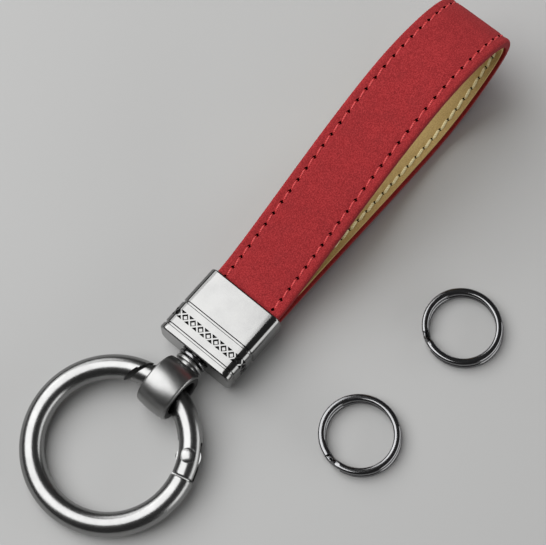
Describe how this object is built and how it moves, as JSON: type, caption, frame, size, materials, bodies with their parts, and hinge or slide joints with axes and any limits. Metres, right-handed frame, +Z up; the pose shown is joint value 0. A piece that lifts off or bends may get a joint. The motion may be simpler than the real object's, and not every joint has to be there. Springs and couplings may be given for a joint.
{
  "type": "leather strap keychain",
  "caption": "Looped leather key strap in a metal ferrule, with a swivel eye carrying a spring-gate ring and loose split rings lying beside it.",
  "frame": {"origin": "on the table, under the middle of the whole set", "axes": "+X along the strap from the spring ring to the end of the loop, +Z up"},
  "size_m": [0.1612, 0.0778, 0.0326],
  "materials": {
    "red_leather": "matte nubuck",
    "tan_lining": "matte",
    "gunmetal": "polished dark plating on a zinc casting",
    "satin_gunmetal": "satin dark plating",
    "black_nickel": "polished black nickel",
    "steel": "plain"
  },
  "bodies": {
    "strap_assembly": {"strap_leather": "red_leather", "strap_lining": "tan_lining", "ferrule": "gunmetal", "strap_pin_1": "steel", "strap_pin_2": "steel", "swivel_washer": "gunmetal"},
    "eye_assembly": {"swivel_eye": "satin_gunmetal", "swivel_retainer": "steel"},
    "gate_assembly": {"gate": "gunmetal", "gate_rivet": "gunmetal", "gate_spring": "steel"},
    "ring": {"ring_body": "gunmetal"},
    "plunger": {"gate_plunger": "steel"},
    "loose_ring_1": {"split_ring_1": "black_nickel"},
    "loose_ring_2": {"split_ring_2": "black_nickel"}
  },
  "joints": [
    {"name": "eye_swivel", "type": "hinge", "parent": "strap_assembly", "child": "eye_assembly", "pos_m": [-0.03979, 0.01522, 0.007], "axis": [1, 0, 0], "continuous": true},
    {"name": "ring_swing", "type": "hinge", "parent": "eye_assembly", "child": "gate_assembly", "pos_m": [-0.03979, 0.01522, 0.007], "axis": [0, 1, 0], "range_deg": [-150, 150]},
    {"name": "gate_hinge", "type": "hinge", "parent": "gate_assembly", "child": "ring", "pos_m": [-0.04913, 0.00045, 0.00518], "axis": [0.0765, 0, -0.9971], "range_deg": [0, 6], "stiffness_Nm_per_rad": 0.05, "springref_deg": -28.65},
    {"name": "plunger_slide", "type": "slide", "parent": "gate_assembly", "child": "plunger", "axis": [0.7026, 0.7096, 0.0539], "range_m": [0, 0.0002], "deforming": ["gate_spring"]},
    {"name": "loose_ring_1_lift", "type": "slide", "parent": "strap_assembly", "child": "loose_ring_1", "axis": [0, 0, 1], "range_m": [0, 0.05]},
    {"name": "loose_ring_2_lift", "type": "slide", "parent": "strap_assembly", "child": "loose_ring_2", "axis": [0, 0, 1], "range_m": [0, 0.05]}
  ],
  "couplings": [
    {"joint": "plunger_slide", "follows": "gate_hinge", "m_per_rad": 0.00141}
  ]
}
